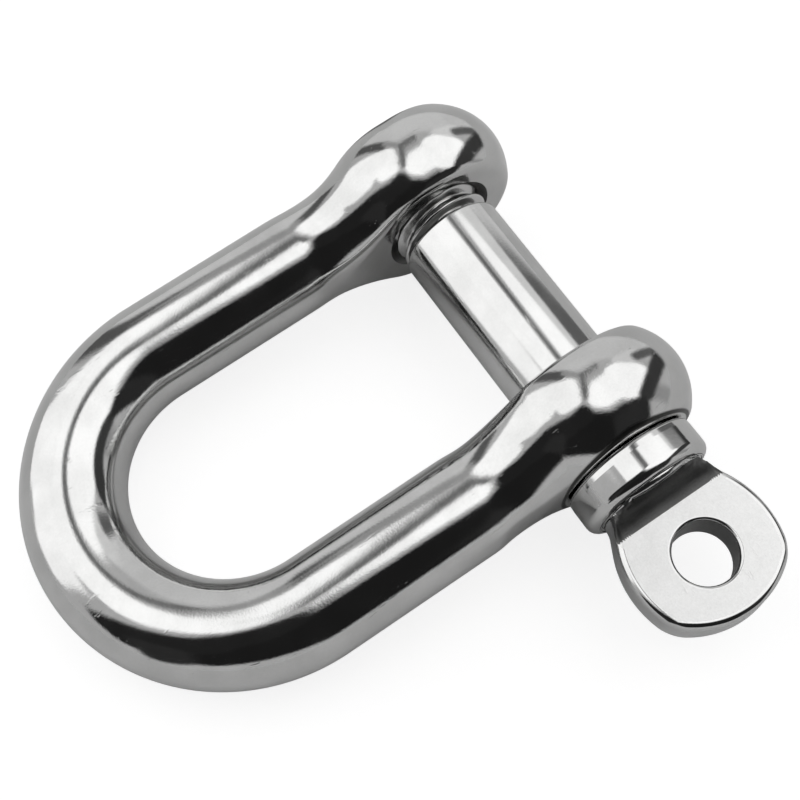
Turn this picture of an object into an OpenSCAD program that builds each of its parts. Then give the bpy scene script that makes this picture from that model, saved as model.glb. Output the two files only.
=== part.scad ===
// Dee shackle: a round-bar bow with two flat-faced ears, closed by a screw pin.
// Origin: on the pin's axis, midway between the ears.
// +X points from the crown to the pin, +Y along the pin to its threaded end, +Z square to the bow's plane.
// Lengths are in millimetres.

/* [Bow] */
// Diameter of the bow's round bar
bar_d = 10; // [9.6:0.1:10.4]
// Clear width between the two legs
inside_w = 20.4; // [19:0.1:24]
// Distance from the pin's axis to the centre of the crown's bend
crown_x = 30.6; // [26:0.1:40]

/* [Ears] */
// Radius of the forged ball that each ear is milled from
ball_r = 9; // [8.6:0.1:9.4]
// Length of the straight stretch across the middle of the ball
ball_len = 1.5; // [1:0.1:2.5]
// Distance of the ball's centre beyond the pin's axis
ball_x = 0.1; // [0:0.1:0.6]
// Radius of the hollow neck between the bar and the ball
neck_fillet_r = 12; // [9:0.5:13]
// Depth of the inner flat face from the leg's centre line
inner_face = 4.8; // [4.4:0.1:5]
// Depth of the outer flat face from the leg's centre line
outer_face = 4.8; // [4.4:0.1:5.2]

/* [Pin] */
// Diameter of the plain shank, between the ears
shank_d = 10.4; // [10.2:0.1:10.6]
// Diameter of the land that turns in the plain ear, and of the neck behind the collar
land_d = 10.8; // [10.7:0.1:11]
// Outside diameter of the thread
thread_d = 10; // [9.6:0.1:10]
// Distance from the middle of the bow to where the thread starts
thread_start = 8.6; // [6:0.1:10]
// Length of the pin's end that shows past the threaded ear
tip_out = 0.6; // [0.2:0.1:2]
// Chamfer on the pin's threaded end
tip_chamfer = 0.9; // [0.3:0.1:1.2]
// Gap all round between the pin and each hole it runs in
running_gap = 0.05; // [0.02:0.01:0.1]

/* [Collar] */
// Diameter of the collar
collar_d = 13.3; // [12.6:0.1:15]
// Thickness of the collar
collar_t = 3.7; // [3:0.1:5]
// Rounding of the collar's outer edge
collar_round = 1; // [0.6:0.1:1.4]
// Rounding of the collar's edge beside the ear
collar_seat_round = 0.5; // [0.3:0.1:0.6]
// Gap between the tightened collar and the ear
seat_gap = 0.15; // [0.05:0.05:0.4]

/* [Eye] */
// Thickness of the flat eye
eye_t = 4.4; // [4:0.1:5]
// Widest part of the eye
eye_w = 14.3; // [13.5:0.1:15]
// Distance from the collar's outer face to the centre of the eye's hole
eye_reach = 7.3; // [7:0.1:9]
// Distance from the centre of the eye's hole to the tip of the eye
eye_tip = 6.3; // [6:0.1:7]
// Diameter of the eye's hole
eye_hole_d = 5.9; // [5:0.1:6.4]
// Radius of each side of the eye
eye_side_r = 10; // [9:0.5:12]
// Radius of the end of the eye
eye_end_r = 9; // [8:0.5:10]
// Radius of the hollow between the neck and the flat of the eye
cove_r = 3; // [2.8:0.1:3.2]

/* [Hidden] */
$fn = 96;

bar_r = bar_d / 2;
leg_y = inside_w / 2 + bar_r;
shank_r = shank_d / 2;
land_r = land_d / 2;
thread_r = thread_d / 2;

// Ear outline, along the leg's axis from the middle of the ball towards the crown
neck_s = sqrt(pow(ball_r + neck_fillet_r, 2) - pow(bar_r + neck_fillet_r, 2));
neck_angle = atan2(bar_r + neck_fillet_r, neck_s);
half_ball_len = ball_len / 2;
neck_end = half_ball_len + neck_s;
leg_len = crown_x + ball_x;

inner_face_y = leg_y - inner_face;
outer_face_y = leg_y + outer_face;
tip_y = outer_face_y + tip_out;
collar_y = -(outer_face_y + seat_gap);
collar_end_y = collar_y - collar_t;

// Eye
eye_y = collar_end_y - eye_reach;
cove_y = collar_end_y - 3.15;
cove_z = eye_t / 2 + 2.9;
root_y = collar_end_y - 0.25;
root_len = cove_r - 0.15;

far = 60;

// Half outline of a leg and its ear, turned about the leg's axis.
module leg_outline() {
    intersection() {
        union() {
            translate([0, half_ball_len]) circle(ball_r);
            translate([0, -half_ball_len]) circle(ball_r);
            translate([0, -half_ball_len]) square([ball_r, ball_len]);
            difference() {
                polygon([
                    [0, half_ball_len],
                    [ball_r * sin(neck_angle), half_ball_len + ball_r * cos(neck_angle)],
                    [bar_r, neck_end],
                    [bar_r, leg_len],
                    [0, leg_len]
                ]);
                translate([bar_r + neck_fillet_r, neck_end]) circle(neck_fillet_r, $fn = 192);
            }
        }
        translate([0, -far]) square([far, 2 * far]);
    }
}

// One leg with its ear, centred on its own axis, with the ear's inner face towards -Y.
module leg() {
    difference() {
        translate([ball_x, 0, 0]) rotate([0, -90, 0]) rotate_extrude() leg_outline();
        translate([ball_x - neck_end, outer_face, -far / 2]) cube([far, far, far]);
        translate([ball_x - neck_end, -inner_face - far, -far / 2]) cube([far, far, far]);
    }
}

module crown() {
    translate([-crown_x, 0, 0]) rotate([0, 0, 90]) rotate_extrude(angle = 180) translate([leg_y, 0]) circle(bar_r);
}

// A cylinder along the pin's axis from y0 to y1.
module pin_bar(r, y0, y1) {
    translate([0, y0, 0]) rotate([-90, 0, 0]) cylinder(h = y1 - y0, r = r);
}

module bow() {
    color("silver") difference() {
        union() {
            crown();
            translate([0, leg_y, 0]) leg();
            mirror([0, 1, 0]) translate([0, leg_y, 0]) leg();
        }
        pin_bar(thread_r + running_gap, 0, far);
        pin_bar(land_r + running_gap, -far, 0);
    }
}

// Flat shape of the eye, seen square to its hole, with the hole's centre at the origin.
module eye_outline() {
    half_w = eye_w / 2;
    difference() {
        intersection() {
            translate([half_w - eye_side_r, 0]) circle(eye_side_r, $fn = 192);
            translate([eye_side_r - half_w, 0]) circle(eye_side_r, $fn = 192);
            translate([0, eye_end_r - eye_tip]) circle(eye_end_r, $fn = 192);
            translate([-half_w, -eye_tip]) square([eye_w, eye_tip + eye_reach - 0.9]);
        }
        circle(eye_hole_d / 2);
    }
}

// Where the round neck is thinned down to the flat of the eye.
module eye_root() {
    difference() {
        pin_bar(land_r, root_y - root_len, root_y);
        for (side = [-1, 1])
            translate([-far / 2, cove_y, side * cove_z]) rotate([0, 90, 0]) cylinder(h = far, r = cove_r);
    }
}

module pin() {
    color("gainsboro") {
        pin_bar(land_r, root_y, -inner_face_y);
        pin_bar(shank_r, -inner_face_y, thread_start);
        pin_bar(thread_r, thread_start, tip_y - tip_chamfer);
        translate([0, tip_y - tip_chamfer, 0]) rotate([-90, 0, 0])
            cylinder(h = tip_chamfer, r1 = thread_r, r2 = thread_r - tip_chamfer);
        eye_root();
        translate([0, eye_y, -eye_t / 2]) linear_extrude(eye_t) eye_outline();
    }
}

// Half section of the collar, from its bore outwards, with its seat on the X axis.
module collar_section() {
    r = collar_d / 2;
    intersection() {
        union() {
            square([r - collar_round, collar_t]);
            translate([0, collar_seat_round]) square([r, collar_t - collar_seat_round - collar_round]);
            translate([r - collar_seat_round, collar_seat_round]) circle(collar_seat_round);
            translate([r - collar_round, collar_t - collar_round]) circle(collar_round);
        }
        translate([land_r + running_gap, 0]) square([r, collar_t]);
    }
}

module pin_collar() {
    color("lightgray") translate([0, collar_y, 0]) rotate([90, 0, 0]) rotate_extrude() collar_section();
}

bow();
pin();
pin_collar();
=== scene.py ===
"""Looks of the dee shackle: smooth polished steel pieces, photo-like studio light and the photo's camera."""

import math

import bpy
import bmesh
import numpy as np
from mathutils import Matrix, Vector


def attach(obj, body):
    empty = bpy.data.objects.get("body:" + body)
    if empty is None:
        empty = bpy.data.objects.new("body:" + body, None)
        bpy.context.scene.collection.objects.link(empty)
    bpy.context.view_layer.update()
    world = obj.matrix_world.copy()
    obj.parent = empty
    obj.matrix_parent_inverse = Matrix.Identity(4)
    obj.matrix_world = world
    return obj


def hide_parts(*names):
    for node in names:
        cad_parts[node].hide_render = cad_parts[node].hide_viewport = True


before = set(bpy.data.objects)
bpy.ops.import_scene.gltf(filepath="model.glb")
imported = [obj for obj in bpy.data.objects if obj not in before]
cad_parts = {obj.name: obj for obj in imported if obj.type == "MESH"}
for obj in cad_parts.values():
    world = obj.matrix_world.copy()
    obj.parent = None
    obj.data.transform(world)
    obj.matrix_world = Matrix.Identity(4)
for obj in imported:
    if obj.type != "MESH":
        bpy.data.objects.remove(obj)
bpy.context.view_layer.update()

# Every length below is in millimetres, in the CAD frame. Meshes are scaled to metres as they are made.
MM = 0.001

# Bow
BAR_R = 5.0
LEG_Y = 15.2
CROWN_X = 30.6
BALL_R = 9.0
BALL_X = 0.1
BALL_IN = 0.5
BALL_IN_FROM, BALL_IN_TO = -14, -6
BALL_FLAT = 1.17
BALL_FLAT_FROM, BALL_FLAT_TO = -15, -5
HALF_BALL_LEN = 0.75
NECK_R = 13.5
INNER_FACE = 4.8
OUTER_FACE = 4.8
EDGE_R = 0.5
RUN_OUT_START = 11.0
RUN_OUT_LEN = 5.0
RUN_OUT_DEPTH = 2.2
INNER_FACE_Y = LEG_Y - INNER_FACE
OUTER_FACE_Y = LEG_Y + OUTER_FACE
BORE_R = 5.45
BORE_CHAMFER = 0.35
COUNTERSINK_R = 5.8

# Thread, right-hand M10 x 1.5: pitch, one crest's place, then the ridges of pin and tapped hole
PITCH = 1.5
CREST_Y = 9.33
CREST_ANGLE = -0.26
FLANK = math.sqrt(3)
PIN_CREST_R = 4.97
PIN_ROOT_R = 4.12
PIN_CREST_HALF = 0.08
HOLE_ROOT_R = 5.03
HOLE_CREST_R = 4.2
HOLE_ROOT_HALF = 0.0765

# Pin
SHANK_R = 5.2
LAND_R = 5.4
SHOULDER_Y = 8.4
SHOULDER_SLOPE = 1.7
SHOULDER_UNDERCUT = 0.15
UNDERCUT_Y = 8.2
ROUGH_SHADED_THREAD_LEN = 0.45
LAND_Y = -10.5
LAND_STEP_LEN = 0.3
TIP_Y = 20.6
TIP_R = 4.1

# Collar
COLLAR_R = 6.65
COLLAR_SEAT_Y = -20.15
COLLAR_END_Y = -23.85
COLLAR_BORE_R = 5.42

# Flat eye of the pin
EYE_Y = -31.15
EYE_T = 4.4
EYE_HOLE_R = 2.95
EYE_HOLE_ROUND = 0.35
EYE_SIDE_R = 10.0
EYE_SIDE_X = 2.85
EYE_SIDE_Y = -30.8
EYE_END_R = 9.0
EYE_END_Y = -28.45
EYE_EDGE_R = 0.65
COVE_R = 3.0
COVE_Y = -27.0
COVE_Z = 5.1
FLAT_END_Y = COVE_Y + math.sqrt(COVE_R**2 - (COVE_Z - EYE_T / 2) ** 2)
HEAD_BLEND = 0.6
HEAD_START_Y = -22.6
HEAD_INSET = 1.6
NECK_END_Y = -25.4
NECK_END_SLOPE = 0.8
PLATE_CORNER_R = 0.5
PLATE_SPARE = 0.7
ROOT_EDGE_R = 0.2
ROOT_EDGE_FROM, ROOT_EDGE_TO = -26.0, -24.2
COVE_END_Y = -24.02
SHANK_END_Y = -22.8


# Places of the finishes in each piece's list of materials. The bore finish and the dark finish carry painted
# shade.
BORE_FINISH = 1
FACE_FINISH = 1
THREAD_FINISH = 1
PAINTED_SHADE_FINISH = 2
NO_FINISH = -1


# ---------------------------------------------------------------- small mesh tools


def make_object(name, points, faces, materials):
    """A mesh object from points in millimetres, with outward faces and smooth shading."""
    mesh = bpy.data.meshes.new(name)
    mesh.from_pydata([tuple(p * MM) for p in points], [], faces)
    work = bmesh.new()
    work.from_mesh(mesh)
    bmesh.ops.remove_doubles(work, verts=work.verts, dist=1e-9)
    bmesh.ops.recalc_face_normals(work, faces=work.faces)
    work.to_mesh(mesh)
    work.free()
    for material in materials:
        mesh.materials.append(material)
    mesh.shade_smooth()
    made = bpy.data.objects.new(name, mesh)
    bpy.context.scene.collection.objects.link(made)
    return made


def ring_faces(rows, cols):
    """Quads between neighbouring rings of a tube, as indices into rows x cols points."""
    faces = []
    for i in range(rows - 1):
        for j in range(cols):
            k = (j + 1) % cols
            faces.append((i * cols + j, i * cols + k, (i + 1) * cols + k, (i + 1) * cols + j))
    return faces


def ring_at(y, r, angle):
    """One ring of points about the Y axis. r is one radius, or a radius for each angle."""
    return np.stack([r * np.sin(angle), np.full(len(angle), y), r * np.cos(angle)], -1)


def closed_ring_faces(rows, cols):
    """As ring_faces, with the last ring joined to the first."""
    faces = ring_faces(rows, cols)
    for j in range(cols):
        k = (j + 1) % cols
        faces.append(((rows - 1) * cols + j, (rows - 1) * cols + k, k, j))
    return faces


def tube(name, rings, start, end, materials):
    """A closed tube: rings of points, closed by a fan to a start and an end point."""
    rows, cols = rings.shape[:2]
    points = np.concatenate([rings.reshape(-1, 3), [start], [end]])
    faces = ring_faces(rows, cols)
    first, last = rows * cols, rows * cols + 1
    for j in range(cols):
        k = (j + 1) % cols
        faces.append((first, k, j))
        faces.append((last, (rows - 1) * cols + j, (rows - 1) * cols + k))
    return make_object(name, points, faces, materials)


def to_surface(field, origins, directions, reach):
    """Distance along each ray at which field turns positive, by halving the interval."""
    low = np.zeros(directions.shape[:-1])
    high = np.full(directions.shape[:-1], float(reach))
    for _ in range(34):
        middle = (low + high) / 2
        inside = field(origins + directions * middle[..., None]) < 0
        low = np.where(inside, middle, low)
        high = np.where(inside, high, middle)
    return low


def gradient(field, points):
    """Unit normals of a field at points."""
    step = 0.01
    parts = []
    for axis in np.eye(3):
        parts.append(field(points + axis * step) - field(points - axis * step))
    normals = np.stack(parts, -1)
    return normals / np.maximum(np.linalg.norm(normals, axis=-1, keepdims=True), 1e-12)


def rounded_both(a, b, radius):
    """Distance inside both a and b, with the edge between them rounded."""
    corner = np.hypot(np.maximum(a + radius, 0), np.maximum(b + radius, 0))
    return np.minimum(-radius, np.maximum(a, b)) + corner


def smooth_step(x, low, high):
    """Rises from 0 at low to 1 at high, level at both ends."""
    t = np.clip((x - low) / (high - low), 0, 1)
    return t * t * (3 - 2 * t)


def rounded_line(corners, steps=5):
    """Corners (along, radius, rounding) as a line with arcs for corners and a close point on each side."""
    line = []
    for i, (y, r, rounding) in enumerate(corners):
        if rounding == 0 or i in (0, len(corners) - 1):
            line.append((y, r))
            continue
        here = np.array([y, r])
        before = np.array(corners[i - 1][:2]) - here
        after = np.array(corners[i + 1][:2]) - here
        before = before / np.linalg.norm(before)
        after = after / np.linalg.norm(after)
        half = math.acos(max(-1, min(1, float(before @ after)))) / 2
        cut = rounding / math.tan(half)
        start, stop = here + before * cut, here + after * cut
        centre = here + (before + after) / np.linalg.norm(before + after) * rounding / math.sin(half)
        line.append(tuple(start + before * 0.03))
        a0 = start - centre
        a1 = stop - centre
        span = math.acos(max(-1, min(1, float(a0 @ a1) / rounding**2)))
        for n in range(steps + 1):
            t = n / steps
            arc = (math.sin((1 - t) * span) * a0 + math.sin(t * span) * a1) / math.sin(span)
            line.append(tuple(centre + arc))
        line.append(tuple(stop + after * 0.03))
    return line


def turned_rings(line, cols):
    """Rings about the Y axis from (y, radius) pairs."""
    angle = np.arange(cols) * 2 * math.pi / cols
    return np.array([ring_at(y, r, angle) for y, r in line])


def cut(piece, cutter):
    """Takes cutter out of piece for good. The new faces take the cutter's material."""
    boolean = piece.modifiers.new("cut", "BOOLEAN")
    boolean.operation = "DIFFERENCE"
    boolean.solver = "EXACT"
    boolean.material_mode = "TRANSFER"
    boolean.object = cutter
    bpy.context.view_layer.update()
    result = bpy.data.meshes.new_from_object(piece.evaluated_get(bpy.context.evaluated_depsgraph_get()))
    piece.modifiers.clear()
    piece.data = result
    bpy.data.objects.remove(cutter)


def set_normals(piece, field, bore_finish):
    """Exact normals from the field on the body's own faces, and averaged ones inside its bores."""
    mesh = piece.data
    mesh.shade_smooth()
    mesh.set_sharp_from_angle(angle=math.radians(32))
    count = len(mesh.loops)
    corner_vertex = np.zeros(count, int)
    mesh.loops.foreach_get("vertex_index", corner_vertex)
    points = np.zeros(len(mesh.vertices) * 3)
    mesh.vertices.foreach_get("co", points)
    points = points.reshape(-1, 3) / MM
    exact = gradient(field, points)[corner_vertex]
    plain = np.zeros(count * 3)
    mesh.corner_normals.foreach_get("vector", plain)
    plain = plain.reshape(-1, 3)
    is_bore = np.zeros(count, bool)
    for polygon in mesh.polygons:
        if polygon.material_index == bore_finish:
            is_bore[polygon.loop_start : polygon.loop_start + polygon.loop_total] = True
    normals = np.where(is_bore[:, None], plain, exact)
    mesh.normals_split_custom_set([tuple(n) for n in normals])


# ---------------------------------------------------------------- bow


def flat_depth(face, along):
    """Depth of a milled flat from the leg's axis. Past the ear the cutter runs out of the leg."""
    out = np.maximum(along - RUN_OUT_START, 0) / RUN_OUT_LEN
    return face + RUN_OUT_DEPTH * np.minimum(out, 2) ** 2


def ball_shift(u):
    """How far the middle of the leg is forged inwards: the ball is, and the bar isn't."""
    return BALL_IN * smooth_step(u, BALL_IN_FROM, BALL_IN_TO)


def flattening(u):
    """How much thinner the leg is along the pin's axis than across it: the ball is forged a little flat."""
    return 1 + (BALL_FLAT - 1) * smooth_step(u, BALL_FLAT_FROM, BALL_FLAT_TO)


def bow_field(points):
    """Signed distance-like field of the bow: bent bar, neck, ball and the two flats of each ear."""
    x, y, z = points[..., 0], points[..., 1], points[..., 2]
    out = np.abs(y) - LEG_Y
    u = x - BALL_X
    leg = np.hypot((out + ball_shift(u)) * flattening(u), z)
    crown = np.hypot(np.hypot(x + CROWN_X, y) - LEG_Y, z) - BAR_R
    from_middle = u - np.clip(u, -HALF_BALL_LEN, HALF_BALL_LEN)
    reach = math.sqrt((BALL_R + NECK_R) ** 2 - (BAR_R + NECK_R) ** 2)
    turn = math.atan2(BAR_R + NECK_R, reach)
    ball = np.hypot(from_middle, leg) - BALL_R
    neck = NECK_R - np.hypot(from_middle + reach, leg - BAR_R - NECK_R)
    body = np.where(np.arctan2(leg, -from_middle) < turn, neck, ball)
    body = np.where(-from_middle >= reach, leg - BAR_R, body)
    along = -from_middle
    body = rounded_both(body, out - flat_depth(OUTER_FACE, along), EDGE_R)
    body = rounded_both(body, -out - flat_depth(INNER_FACE, along), EDGE_R)
    return np.where(x < -CROWN_X, crown, body)


def plain_radius(along):
    """Radius of the leg before its flats are milled, at a distance along it from the ball's middle."""
    reach = math.sqrt((BALL_R + NECK_R) ** 2 - (BAR_R + NECK_R) ** 2)
    meet = BALL_R * reach / (BALL_R + NECK_R)
    if along < meet:
        return math.sqrt(BALL_R**2 - along**2)
    if along < reach:
        return BAR_R + NECK_R - math.sqrt(NECK_R**2 - (reach - along) ** 2)
    return BAR_R


def around(radius, outer_depth, inner_depth):
    """Angles round the leg from its outer side, closer together where the edges of the flats are."""

    def edge(depth):
        flat = math.degrees(math.acos(min(1, depth / max(radius - EDGE_R, 0.01))))
        round_end = math.degrees(math.acos(min(1, (depth - EDGE_R) / radius)))
        flat = max(flat, 9)
        return flat, max(round_end, flat + 8)

    outer_flat, outer_round = edge(outer_depth)
    inner_flat, inner_round = edge(inner_depth)
    stops = [0, outer_flat, outer_round, 180 - inner_round, 180 - inner_flat, 180]
    counts = [8, 10, 34, 10, 8]
    half = []
    for a, b, n in zip(stops, stops[1:], counts):
        half.extend(a + (b - a) * i / n for i in range(n))
    half.append(180)
    whole = half + [360 - a for a in half[-2:0:-1]]
    return np.radians(whole)


def ear_rows():
    """Rows of one leg from its ear's tip to the crown: X and Y, tilt of the rays, angles round."""
    rows = []
    tilts = [2, 5, 9, 13, 17, 20, 22.5, 24.5] + list(np.arange(25.5, 42, 0.75)) + list(np.arange(42, 90.1, 2))
    for tilt in tilts:
        radius = BALL_R * math.sin(math.radians(tilt))
        angles = around(radius, (OUTER_FACE + BALL_IN) * BALL_FLAT, (INNER_FACE - BALL_IN) * BALL_FLAT)
        rows.append((BALL_X + HALF_BALL_LEN, LEG_Y - BALL_IN, math.radians(tilt), angles))
    places = list(np.arange(0.3, 18.5, 0.34)) + list(np.arange(18.8, 31.0 - 0.4, 1.1))
    for along in places:
        x = BALL_X + HALF_BALL_LEN - along
        from_middle = max(0, along - 2 * HALF_BALL_LEN)
        shift = float(ball_shift(x - BALL_X))
        flat = float(flattening(x - BALL_X))
        outer = (float(flat_depth(OUTER_FACE, from_middle)) + shift) * flat
        inner = (float(flat_depth(INNER_FACE, from_middle)) - shift) * flat
        rows.append((x, LEG_Y - shift, math.pi / 2, around(plain_radius(from_middle), outer, inner)))
    return rows


def make_bow(materials):
    """The whole bow as one tube along its centre line, from the far ear round the crown to the near ear."""
    origins, directions = [], []
    leg = ear_rows()
    for side, rows in ((1, leg), (-1, leg[::-1])):
        for x, y, tilt, angles in rows:
            outward = np.array([0, side, 0])
            spread = np.cos(angles)[:, None] * outward + np.sin(angles)[:, None] * np.array([0, 0, 1])
            directions.append(math.cos(tilt) * np.array([1, 0, 0]) + math.sin(tilt) * spread)
            origins.append([x, side * y, 0])
        if side == 1:
            angles = around(BAR_R, 9, 9)
            for turn in np.radians(np.arange(1.0, 180, 2.0)):
                outward = np.array([-math.sin(turn), math.cos(turn), 0])
                spread = np.cos(angles)[:, None] * outward + np.sin(angles)[:, None] * np.array([0, 0, 1])
                directions.append(spread)
                origins.append([-CROWN_X - LEG_Y * math.sin(turn), LEG_Y * math.cos(turn), 0])
    origins = np.array(origins)[:, None, :]
    directions = np.array(directions)
    reach = to_surface(bow_field, origins, directions, 12)
    rings = origins + directions * reach[..., None]
    tip_x = BALL_X + HALF_BALL_LEN + BALL_R
    tip_y = LEG_Y - BALL_IN
    bow = tube("bow_polished", rings, [tip_x, tip_y, 0], [tip_x, -tip_y, 0], materials)
    cut(bow, plain_bore_cutter(materials[BORE_FINISH]))
    cut(bow, threaded_bore_cutter(materials[BORE_FINISH]))
    set_normals(bow, bow_field, BORE_FINISH)
    return bow


def plain_bore_cutter(material):
    """The hole through the near ear, with a small chamfer at each mouth."""
    wide = BORE_R + BORE_CHAMFER + 1
    line = [
        (-OUTER_FACE_Y - 1, wide),
        (-OUTER_FACE_Y + BORE_CHAMFER, BORE_R),
        (-OUTER_FACE_Y + BORE_CHAMFER + 0.05, BORE_R),
        (-INNER_FACE_Y - BORE_CHAMFER - 0.05, BORE_R),
        (-INNER_FACE_Y - BORE_CHAMFER, BORE_R),
        (-INNER_FACE_Y + 1, wide),
    ]
    rings = turned_rings(line, 128)
    return tube("bore", rings, [0, line[0][0], 0], [0, line[-1][0], 0], [material])


def thread_radius(y, angle, crest_r, root_r, crest_half):
    """Radius of a right-hand thread at a place along the pin and an angle from +Z towards +X."""
    phase = (y - CREST_Y) / PITCH - (angle - CREST_ANGLE) / (2 * math.pi)
    away = np.abs(phase - np.round(phase)) * PITCH
    return np.clip(crest_r - (away - crest_half) * FLANK, root_r, crest_r)


def threaded_bore_cutter(material):
    """The tapped hole through the far ear, countersunk at each mouth."""
    cols = 96
    angle = np.arange(cols) * 2 * math.pi / cols
    rings = []
    for y in np.arange(INNER_FACE_Y - 1, OUTER_FACE_Y + 1.01, 0.1):
        thread = thread_radius(y, angle, HOLE_ROOT_R, HOLE_CREST_R, HOLE_ROOT_HALF)
        inner_mouth = COUNTERSINK_R - (y - INNER_FACE_Y)
        outer_mouth = COUNTERSINK_R - 0.3 - (OUTER_FACE_Y - y)
        r = np.maximum(thread, max(inner_mouth, outer_mouth))
        rings.append(ring_at(y, r, angle))
    rings = np.array(rings)
    return tube("tapped", rings, [0, rings[0, 0, 1], 0], [0, rings[-1, 0, 1], 0], [material])


# ---------------------------------------------------------------- pin


def head_field(points):
    """Field of the pin's head: round neck, two coves, the flat eye with its rounded edge, and its hole."""
    x, y, z = np.abs(points[..., 0]), points[..., 1], np.abs(points[..., 2])
    neck = np.maximum(np.hypot(x, z) - LAND_R, (NECK_END_Y - y) * NECK_END_SLOPE)
    side = np.hypot(x + EYE_SIDE_X, y - EYE_SIDE_Y) - EYE_SIDE_R
    end = np.hypot(x, y - EYE_END_Y) - EYE_END_R
    plate = np.maximum(rounded_both(side, end, PLATE_CORNER_R), z - EYE_T / 2 - PLATE_SPARE)
    near = np.maximum(HEAD_BLEND - np.abs(neck - plate), 0) / HEAD_BLEND
    body = np.minimum(neck, plate) - near * near * HEAD_BLEND / 4
    cove = np.where(z > COVE_Z, COVE_Y + COVE_R - y, COVE_R - np.hypot(y - COVE_Y, z - COVE_Z))
    thickness = np.where(y < FLAT_END_Y, z - EYE_T / 2, cove)
    sharpening = smooth_step(y, ROOT_EDGE_FROM, ROOT_EDGE_TO)
    edge = EYE_EDGE_R - (EYE_EDGE_R - ROOT_EDGE_R) * sharpening
    body = rounded_both(body, thickness, edge)
    body = np.maximum(body, y - HEAD_START_Y)
    hole = EYE_HOLE_R - np.hypot(x, y - EYE_Y)
    return rounded_both(body, hole, EYE_HOLE_ROUND)


def head_outline(count):
    """Outline of the head seen square to the eye: directions from the hole's centre, and distances."""
    angle = np.linspace(0, 2 * math.pi, 2401)
    away = np.stack([np.sin(angle), np.cos(angle), np.zeros(len(angle))], -1)
    start = np.array([0, EYE_Y, 0]) + away * (EYE_HOLE_R + 0.5)
    reach = to_surface(head_field, start, away, 8) + EYE_HOLE_R + 0.5
    edge = away * reach[:, None]
    length = np.concatenate([[0], np.cumsum(np.linalg.norm(np.diff(edge, axis=0), axis=1))])
    places = np.arange(count) * length[-1] / count
    even = np.interp(places, length, angle)
    return even, np.interp(places, length, reach)


def head_rings(count):
    """Upper half of the head as loops round the eye's hole, from the hole's wall to the outer side."""
    angle, reach = head_outline(count)
    away = np.stack([np.sin(angle), np.cos(angle), np.zeros(count)], -1)
    centre = np.array([0, EYE_Y, 0])
    up = np.array([0, 0, 1])
    half = EYE_T / 2
    rings = []
    for z in (0, 0.9, half - EYE_HOLE_ROUND - 0.05):
        rings.append(centre + away * EYE_HOLE_R + up * z)
    for turn in np.radians([0, 18, 36, 54, 72, 90]):
        r = EYE_HOLE_R + EYE_HOLE_ROUND * (1 - math.cos(turn))
        rings.append(centre + away * r + up * (half - EYE_HOLE_ROUND + EYE_HOLE_ROUND * math.sin(turn)))
    rim = EYE_HOLE_R + EYE_HOLE_ROUND
    inset = reach - HEAD_INSET
    towards_neck = np.maximum(away[:, 1], 1e-6)
    line = np.minimum((FLAT_END_Y - EYE_Y) / towards_neck, inset - 0.15)
    for share in (0.03, 0.12, 0.25, 0.4, 0.55, 0.7, 0.82, 0.92, 0.985):
        rings.append(head_height(centre + away * (rim + (line - rim) * share)[:, None]))
    for share in (0, 0.04, 0.1, 0.18, 0.27, 0.37, 0.48, 0.6, 0.72, 0.86, 1):
        rings.append(head_height(centre + away * (line + (inset - line) * share)[:, None]))
    start = centre + away * inset[:, None]
    for lift in (84, 78, 73, 69.5, 67, 65, 63, 61, 59, 57, 55, 53, 51, 49, 47, 45, 43, 41, 37, 30, 20, 10, 0):
        c, s = math.cos(math.radians(lift)), math.sin(math.radians(lift))
        rays = away * c + up * s
        rings.append(start + rays * to_surface(head_field, start, rays, 8)[:, None])
    return rings


def head_height(places):
    """Points on the head's upper surface straight above places in its middle plane."""
    up = np.broadcast_to(np.array([0, 0, 1.0]), places.shape)
    return places + up * to_surface(head_field, places, up, 8)[:, None]


def make_eye(materials):
    """The pin's neck and flat eye, as loops round the hole of the eye."""
    top = head_rings(240)
    bottom = [ring * np.array([1, 1, -1]) for ring in top[-2:0:-1]]
    rings = np.array(top + bottom)
    faces = closed_ring_faces(*rings.shape[:2])
    eye = make_object("pin_eye", rings.reshape(-1, 3), faces, materials)
    for polygon in eye.data.polygons:
        x, y, z = polygon.center / MM
        steepest = 0.999 if y < FLAT_END_Y - 0.5 else 0.8
        flat = abs(polygon.normal.z) > steepest and abs(z) > EYE_T / 2 - 0.1
        # Coves and the hole's wall get the dark finish: painted shade in these recesses.
        cove = FLAT_END_Y < y < COVE_END_Y and abs(z) > EYE_T / 2 - 0.2
        wall = math.hypot(x, y - EYE_Y) < EYE_HOLE_R + 0.02
        if flat and y < FLAT_END_Y:
            polygon.material_index = FACE_FINISH
        elif cove or wall:
            polygon.material_index = PAINTED_SHADE_FINISH
    set_normals(eye, head_field, NO_FINISH)
    return eye


def pin_radius(y, angle):
    """Radius of the pin behind its head: thread, shank and land."""
    thread = thread_radius(y, angle, PIN_CREST_R, PIN_ROOT_R, PIN_CREST_HALF)
    shoulder = SHANK_R - SHOULDER_UNDERCUT - (y - SHOULDER_Y) * SHOULDER_SLOPE
    chamfer = TIP_R + (TIP_Y - y)
    threaded = np.minimum(np.maximum(thread, np.minimum(shoulder, PIN_CREST_R)), chamfer)
    plain = LAND_R - (LAND_R - SHANK_R) * smooth_step(y, LAND_Y, LAND_Y + LAND_STEP_LEN)
    return np.where(y > SHOULDER_Y, threaded, plain)


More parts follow.
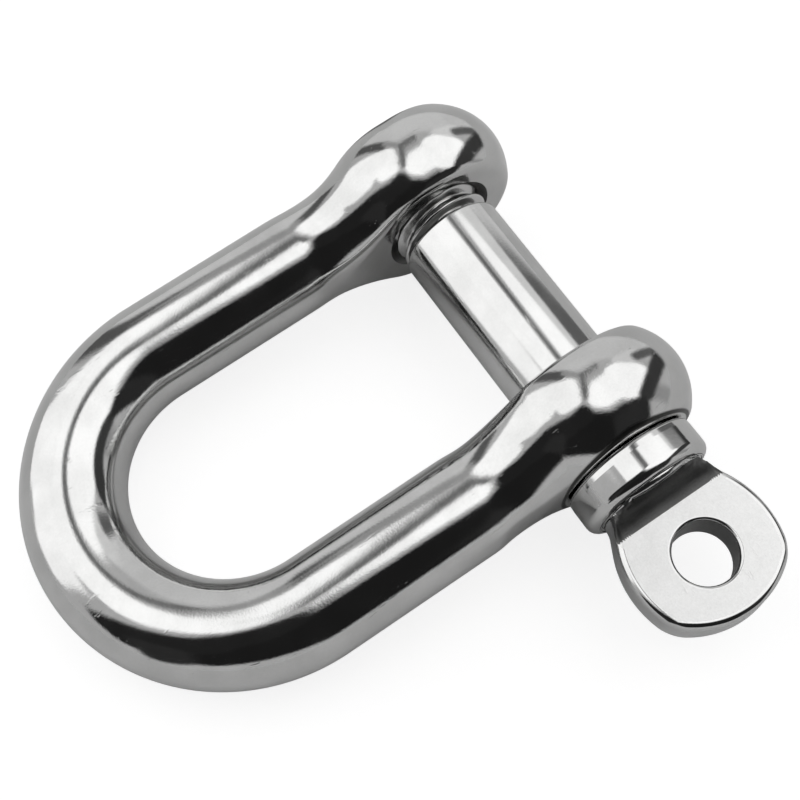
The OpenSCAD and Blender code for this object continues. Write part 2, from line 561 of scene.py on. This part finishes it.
def make_shank(materials):
    """The pin behind its head as one tube along Y: threaded tip, shank and land, ending inside the collar."""
    cols = 144
    angle = np.arange(cols) * 2 * math.pi / cols
    rings = []
    for y, r in ((TIP_Y, 1.2), (TIP_Y, 2.6), (TIP_Y, 3.85), (TIP_Y, 3.95), (TIP_Y - 0.02, 4.05)):
        rings.append(ring_at(y, r, angle))
    places = list(np.arange(TIP_Y - 0.1, SHOULDER_Y, -0.095))
    for y in (8.38, 8.34, 8.3, 8.25, 8.2, 8.1, 4, 0, -5, -10, -10.15, -10.2):
        places.append(y)
    places += list(np.arange(-10.23, -10.52, -0.03)) + [-10.55, -10.6, -14, -18, -22, SHANK_END_Y]
    for y in places:
        r = pin_radius(y, angle)
        if UNDERCUT_Y - 0.01 < y <= SHOULDER_Y:
            r = r - SHOULDER_UNDERCUT * smooth_step(y, UNDERCUT_Y, SHOULDER_Y)
        rings.append(ring_at(y, r, angle))
    shank = tube("pin_shank", np.array(rings), [0, TIP_Y, 0], [0, SHANK_END_Y, 0], materials)
    for polygon in shank.data.polygons:
        y = polygon.center.y / MM
        # The thread's first stretch past the shoulder gets the dark finish: painted shade in the crease, in
        # rougher steel.
        if y > SHOULDER_Y + ROUGH_SHADED_THREAD_LEN:
            polygon.material_index = THREAD_FINISH
        elif y > SHOULDER_Y:
            polygon.material_index = PAINTED_SHADE_FINISH
    shank.data.set_sharp_from_angle(angle=math.radians(60))
    return shank


# ---------------------------------------------------------------- collar


def make_collar(materials):
    """The collar as a turned ring, with rounded edges and a small hollow at the neck."""
    corners = [
        (COLLAR_SEAT_Y, COLLAR_BORE_R, 0),
        (COLLAR_SEAT_Y, COLLAR_R - 0.05, 0.35),
        (COLLAR_SEAT_Y - 0.8, COLLAR_R, 0.2),
        (COLLAR_END_Y, COLLAR_R, 1.0),
        (COLLAR_END_Y, COLLAR_BORE_R + 0.35, 0.15),
        (COLLAR_END_Y + 0.12, COLLAR_BORE_R, 0),
    ]
    rings = turned_rings(rounded_line(corners), 144)
    faces = closed_ring_faces(*rings.shape[:2])
    collar = make_object("collar_polished", rings.reshape(-1, 3), faces, materials)
    collar.data.set_sharp_from_angle(angle=math.radians(50))
    return collar


# ---------------------------------------------------------------- materials


def noise(tree, coordinates, scale, detail, roughness=0.5, stretch=(1, 1, 1)):
    """Noise in object space, with a stretch along each axis."""
    mapping = tree.nodes.new("ShaderNodeMapping")
    mapping.inputs["Scale"].default_value = stretch
    tree.links.new(coordinates, mapping.inputs["Vector"])
    node = tree.nodes.new("ShaderNodeTexNoise")
    node.inputs["Scale"].default_value = scale
    node.inputs["Detail"].default_value = detail
    node.inputs["Roughness"].default_value = roughness
    tree.links.new(mapping.outputs["Vector"], node.inputs["Vector"])
    return node.outputs["Fac"]


def remap(tree, value, low, high, out_low, out_high):
    """Takes a value from one range to another, smoothly and without going past its ends."""
    node = tree.nodes.new("ShaderNodeMapRange")
    node.interpolation_type = "SMOOTHSTEP"
    node.inputs["From Min"].default_value = low
    node.inputs["From Max"].default_value = high
    node.inputs["To Min"].default_value = out_low
    node.inputs["To Max"].default_value = out_high
    tree.links.new(value, node.inputs["Value"])
    return node.outputs["Result"]


def math_node(tree, operation, a, b=None):
    """Output of one maths node. a and b are numbers or the outputs of other nodes."""
    node = tree.nodes.new("ShaderNodeMath")
    node.operation = operation
    for socket, value in zip(node.inputs, (a, b)):
        if value is None:
            continue
        if isinstance(value, (int, float)):
            socket.default_value = value
        else:
            tree.links.new(value, socket)
    return node.outputs[0]


def length(tree, a, b):
    """Length of the vector (a, b)."""
    squares = math_node(tree, "ADD", math_node(tree, "MULTIPLY", a, a), math_node(tree, "MULTIPLY", b, b))
    return math_node(tree, "SQRT", squares)


def bump(tree, height, distance, normal=None):
    """Bump of a height field, distance in metres for a height of one."""
    node = tree.nodes.new("ShaderNodeBump")
    node.inputs["Strength"].default_value = 1
    node.inputs["Distance"].default_value = distance
    tree.links.new(height, node.inputs["Height"])
    if normal is not None:
        tree.links.new(normal, node.inputs["Normal"])
    return node.outputs["Normal"]


def steel(name, dark, light, rough_low, rough_high, grain, wave, scratch_stretch):
    """Polished stainless steel: fine grain, slow forging waves, hairline scratches and cloudy gloss."""
    material = bpy.data.materials.new(name)
    material.use_nodes = True
    tree = material.node_tree
    shader = tree.nodes["Principled BSDF"]
    shader.inputs["Metallic"].default_value = 1
    place = tree.nodes.new("ShaderNodeTexCoord").outputs["Object"]
    cloudy = noise(tree, place, 260, 3)
    fine = noise(tree, place, 5200, 3, 0.65)
    waves = noise(tree, place, 190, 2)
    hair = noise(tree, place, 900, 4, 0.7, scratch_stretch)
    scratches = remap(tree, hair, 0.62, 0.72, 0, 1)
    colour = tree.nodes.new("ShaderNodeMix")
    colour.data_type = "RGBA"
    colour.inputs["A"].default_value = (*dark, 1)
    colour.inputs["B"].default_value = (*light, 1)
    mixed = math_node(tree, "MULTIPLY_ADD", fine, 0.5)
    tree.links.new(remap(tree, cloudy, 0.3, 0.7, 0, 0.5), mixed.node.inputs[2])
    tree.links.new(mixed, colour.inputs["Factor"])
    tree.links.new(colour.outputs["Result"], shader.inputs["Base Color"])
    gloss = remap(tree, cloudy, 0.3, 0.7, rough_low, rough_high)
    gloss = math_node(tree, "ADD", gloss, math_node(tree, "MULTIPLY", scratches, 0.08))
    tree.links.new(gloss, shader.inputs["Roughness"])
    normal = bump(tree, waves, wave)
    normal = bump(tree, fine, grain, normal)
    normal = bump(tree, scratches, grain * 1.5, normal)
    tree.links.new(normal, shader.inputs["Normal"])
    return material


def paint_collar_shadow_ring(material):
    """A dark ring painted round the collar's seat on the outer side of each ear: painted shadow and reflection
    of the collar on the ear's face, made a little rougher too.
    """
    tree = material.node_tree
    shader = tree.nodes["Principled BSDF"]
    parts = tree.nodes.new("ShaderNodeSeparateXYZ")
    tree.links.new(tree.nodes.new("ShaderNodeTexCoord").outputs["Object"], parts.inputs["Vector"])
    x, y, z = parts.outputs
    radius = length(tree, x, z)
    outside = remap(tree, radius, 6.8 * MM, 6.92 * MM, 0, 1)
    inside = remap(tree, radius, 7.2 * MM, 7.4 * MM, 1, 0)
    face = remap(tree, math_node(tree, "ABSOLUTE", y), 18.6 * MM, 18.9 * MM, 0, 1)
    # Mask of the painted shadow ring, which darkens the base colour and raises the roughness.
    seat_shadow = math_node(tree, "MULTIPLY", math_node(tree, "MULTIPLY", outside, inside), face)
    colour = tree.nodes.new("ShaderNodeMix")
    colour.data_type = "RGBA"
    colour.inputs["B"].default_value = (0.05, 0.05, 0.048, 1)
    tree.links.new(shader.inputs["Base Color"].links[0].from_socket, colour.inputs["A"])
    tree.links.new(seat_shadow, colour.inputs["Factor"])
    tree.links.new(colour.outputs["Result"], shader.inputs["Base Color"])
    gloss = shader.inputs["Roughness"].links[0].from_socket
    rougher = math_node(tree, "ADD", gloss, math_node(tree, "MULTIPLY", seat_shadow, 0.25))
    tree.links.new(rougher, shader.inputs["Roughness"])


def make_materials():
    """Each steel: two colours, two roughnesses, grain and waves in metres, and how its hairlines stretch."""
    bow = steel(
        "bow_steel", (0.57, 0.57, 0.565), (0.72, 0.72, 0.715), 0.045, 0.09, 5e-6, 2.0e-5, (0.15, 1, 1)
    )
    paint_collar_shadow_ring(bow)
    # Bore steel is made dark: painted shade inside the holes and their countersinks, and rougher.
    bore = steel(
        "bore_shade_steel", (0.1, 0.1, 0.097), (0.24, 0.24, 0.235), 0.34, 0.5, 4e-6, 4e-6, (1, 0.1, 1)
    )
    pin = steel(
        "pin_steel", (0.58, 0.58, 0.575), (0.72, 0.72, 0.715), 0.06, 0.12, 2.5e-6, 1.5e-6, (1, 0.12, 1)
    )
    thread = steel(
        "thread_steel", (0.52, 0.52, 0.515), (0.76, 0.76, 0.755), 0.14, 0.22, 1.5e-6, 1e-6, (1, 0.2, 1)
    )
    satin = steel(
        "eye_satin_steel", (0.56, 0.56, 0.555), (0.9, 0.9, 0.895), 0.28, 0.44, 9e-6, 2e-5, (1, 0.25, 1)
    )
    # Rough steel made dark: painted shade for the eye's coves, the eye's hole wall and the thread's start by the
    # shoulder.
    rough_shade = steel(
        "rough_painted_shade_steel", (0.07, 0.07, 0.068), (0.2, 0.2, 0.197), 0.3, 0.48, 6e-6, 6e-6, (0.2, 1, 1)
    )
    collar = steel(
        "collar_steel", (0.58, 0.58, 0.575), (0.72, 0.72, 0.715), 0.05, 0.1, 2e-6, 4e-6, (0.3, 1, 0.3)
    )
    return bow, bore, pin, thread, satin, rough_shade, collar


# ---------------------------------------------------------------- light, floor and camera

CAMERA_PLACE = (-30.67, -43.86, 113.82)
CAMERA_RIGHT = Vector((0.82970, -0.55315, -0.07505))
CAMERA_UP = Vector((0.54063, 0.76276, 0.35486))
CAMERA_LENS = 57.87

# Half width of the floor in metres, and its gap under the ears in millimetres
FLOOR_HALF = 1.6
FLOOR_GAP = 0.08


def make_camera():
    """The camera, at the place and angle fitted to the photo."""
    data = bpy.data.cameras.new("camera")
    data.lens = CAMERA_LENS
    data.sensor_width = 36
    data.clip_start = 0.005
    data.clip_end = 5
    camera = bpy.data.objects.new("camera", data)
    right = CAMERA_RIGHT.normalized()
    back = right.cross(CAMERA_UP).normalized()
    up = back.cross(right)
    turn = Matrix((right, up, back)).transposed().to_4x4()
    camera.matrix_world = Matrix.Translation(Vector(CAMERA_PLACE) * MM) @ turn
    bpy.context.scene.collection.objects.link(camera)
    bpy.context.scene.camera = camera


# The studio round the shackle is laid out as a flat chart, in degrees from straight up, right and up in the
# photo. It stands still in the CAD frame. Each card lies over the ones before it, and is (right, up, half width,
# half height, turn, edge softness, brightness), in degrees but for the last.
ROOM = 0.55
CARD_ROUNDING = 0.6
CARDS = [
    (0, 97, 70, 42, 0, 12, 0.72),  # pale wall beyond the top
    (30, 48, 16, 9, 36, 6, 0.85),  # pale card, upper right
    (-47, 56, 20, 5, -28, 5, 0.12),  # dark bar, upper left
    (-21, 46, 11, 2, -35, 4, 0.4),  # thin grey bar, upper left
    (50, 60, 15, 5, 40, 6, 0.14),  # dark bar, upper right
    (84, 4, 14, 6, 5, 12, 0.36),  # grey patch, far right
    (-44, 14, 32, 17, 20, 3, 1.4),  # left window
    (-24, 5, 14, 14, 25, 3, 1.4),  # left window, inner part
    (-62, -3, 18, 13, 20, 5, 1.35),  # left window, lower part
    (-56, 28, 29, 12, -6, 4, 1.35),  # left window, upper part
    (30, 14, 27, 25, -3, 3, 1.42),  # right window
    (67, 34, 8, 44, -10, 5, 0.05),  # dark upright, right of the right window
    (14, -46, 42, 26, 0, 4, 0.015),  # black, the whole lower side
    (57, -34, 13, 22, 20, 6, 0.03),  # black, lower right
    (-3, -22, 12, 12, 45, 4, 0.02),  # black, where the windows meet below
    (-34, -37, 25, 13, 16, 4, 0.02),  # black, lower left
    (-36, -56, 11, 14, -3, 5, 0.03),  # black, further down on the left
    (-5, 23, 1.4, 20, 12, 3, 0.18),  # bar between the two windows
]


def make_world():
    """The studio: the cards light the steel, and the camera itself sees plain white."""
    world = bpy.data.worlds.new("studio")
    bpy.context.scene.world = world
    world.use_nodes = True
    tree = world.node_tree
    tree.nodes.clear()
    place = tree.nodes.new("ShaderNodeTexCoord").outputs["Generated"]
    turn = math.atan2(CAMERA_RIGHT.y, CAMERA_RIGHT.x)
    spin = tree.nodes.new("ShaderNodeVectorRotate")
    spin.rotation_type = "Z_AXIS"
    spin.inputs["Angle"].default_value = -turn
    tree.links.new(place, spin.inputs["Vector"])
    parts = tree.nodes.new("ShaderNodeSeparateXYZ")
    tree.links.new(spin.outputs["Vector"], parts.inputs["Vector"])
    x, y, z = parts.outputs
    flat = length(tree, x, y)
    tilt = math_node(tree, "MULTIPLY", math_node(tree, "ARCTAN2", flat, z), 180 / math.pi)
    scale = math_node(tree, "DIVIDE", tilt, math_node(tree, "MAXIMUM", flat, 1e-5))
    right = math_node(tree, "MULTIPLY", x, scale)
    up = math_node(tree, "MULTIPLY", y, scale)
    level = None
    for card in CARDS:
        level = paint_card(tree, right, up, card, ROOM if level is None else level)
    light = tree.nodes.new("ShaderNodeBackground")
    light.inputs["Color"].default_value = (1, 1, 1, 1)
    tree.links.new(level, light.inputs["Strength"])
    seen = tree.nodes.new("ShaderNodeBackground")
    seen.inputs["Color"].default_value = (1, 1, 1, 1)
    seen.inputs["Strength"].default_value = 1
    choose = tree.nodes.new("ShaderNodeMixShader")
    tree.links.new(tree.nodes.new("ShaderNodeLightPath").outputs["Is Camera Ray"], choose.inputs[0])
    tree.links.new(light.outputs[0], choose.inputs[1])
    tree.links.new(seen.outputs[0], choose.inputs[2])
    tree.links.new(choose.outputs[0], tree.nodes.new("ShaderNodeOutputWorld").inputs["Surface"])


def paint_card(tree, right, up, card, below):
    """Lays one soft-edged card with rounded corners over the chart so far."""
    centre_x, centre_y, half_w, half_h, turn, soft, brightness = card
    corner = CARD_ROUNDING * min(half_w, half_h)
    c, s = math.cos(math.radians(turn)), math.sin(math.radians(turn))
    dx = math_node(tree, "SUBTRACT", right, centre_x)
    dy = math_node(tree, "SUBTRACT", up, centre_y)
    along_x = math_node(tree, "MULTIPLY", dx, c)
    along_y = math_node(tree, "MULTIPLY", dy, s)
    along = math_node(tree, "ADD", along_x, along_y)
    across_x = math_node(tree, "MULTIPLY", dx, s)
    across_y = math_node(tree, "MULTIPLY", dy, c)
    across = math_node(tree, "SUBTRACT", across_y, across_x)
    out_w = math_node(tree, "SUBTRACT", math_node(tree, "ABSOLUTE", along), half_w - corner)
    out_h = math_node(tree, "SUBTRACT", math_node(tree, "ABSOLUTE", across), half_h - corner)
    away = length(tree, math_node(tree, "MAXIMUM", out_w, 0), math_node(tree, "MAXIMUM", out_h, 0))
    inside = remap(tree, away, corner, corner + soft, 1, 0)
    mix = tree.nodes.new("ShaderNodeMix")
    mix.data_type = "FLOAT"
    tree.links.new(inside, mix.inputs["Factor"])
    if isinstance(below, (int, float)):
        mix.inputs["A"].default_value = below
    else:
        tree.links.new(below, mix.inputs["A"])
    mix.inputs["B"].default_value = brightness
    return mix.outputs["Result"]


def make_floor():
    """A pale floor under the two ears and the crown, brighter to the camera than to the steel."""
    ear_x, ear_z = BALL_X, -BALL_R
    crown_x, crown_z = -CROWN_X - LEG_Y, -BAR_R
    slope = math.atan2(crown_z - ear_z, ear_x - crown_x)
    mesh = bpy.data.meshes.new("floor")
    corners = [(-FLOOR_HALF, -FLOOR_HALF, 0), (FLOOR_HALF, -FLOOR_HALF, 0)]
    corners += [(FLOOR_HALF, FLOOR_HALF, 0), (-FLOOR_HALF, FLOOR_HALF, 0)]
    mesh.from_pydata(corners, [], [(0, 1, 2, 3)])
    floor = bpy.data.objects.new("floor", mesh)
    floor.location = (ear_x * MM, 0, (ear_z - FLOOR_GAP) * MM)
    floor.rotation_euler = (0, slope, 0)
    bpy.context.scene.collection.objects.link(floor)
    material = bpy.data.materials.new("pale_floor")
    material.use_nodes = True
    tree = material.node_tree
    tree.nodes.clear()
    matt = tree.nodes.new("ShaderNodeBsdfDiffuse")
    matt.inputs["Color"].default_value = (0.74, 0.74, 0.74, 1)
    soft = tree.nodes.new("ShaderNodeBsdfDiffuse")
    soft.inputs["Color"].default_value = (0.32, 0.32, 0.32, 1)
    glow = tree.nodes.new("ShaderNodeEmission")
    glow.inputs["Color"].default_value = (1, 1, 1, 1)
    glow.inputs["Strength"].default_value = 0.83
    bright = tree.nodes.new("ShaderNodeAddShader")
    tree.links.new(soft.outputs[0], bright.inputs[0])
    tree.links.new(glow.outputs[0], bright.inputs[1])
    choose = tree.nodes.new("ShaderNodeMixShader")
    tree.links.new(tree.nodes.new("ShaderNodeLightPath").outputs["Is Camera Ray"], choose.inputs[0])
    tree.links.new(matt.outputs[0], choose.inputs[1])
    tree.links.new(bright.outputs[0], choose.inputs[2])
    tree.links.new(choose.outputs[0], tree.nodes.new("ShaderNodeOutputMaterial").inputs["Surface"])
    mesh.materials.append(material)


# ---------------------------------------------------------------- put together

bow_steel, bore_shade_steel, pin_steel, thread_steel, satin_steel, rough_painted_shade_steel, collar_steel = make_materials()

bow = make_bow([bow_steel, bore_shade_steel])
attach(bow, "bow")
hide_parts("bow")

shank = make_shank([pin_steel, thread_steel, rough_painted_shade_steel])
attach(shank, "pin")
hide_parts("pin")

eye = make_eye([pin_steel, satin_steel, rough_painted_shade_steel])
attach(eye, "pin")
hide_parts("pin")

collar = make_collar([collar_steel])
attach(collar, "collar")
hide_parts("pin_collar")

make_world()
make_floor()
make_camera()
bpy.context.scene.view_settings.view_transform = "Standard"
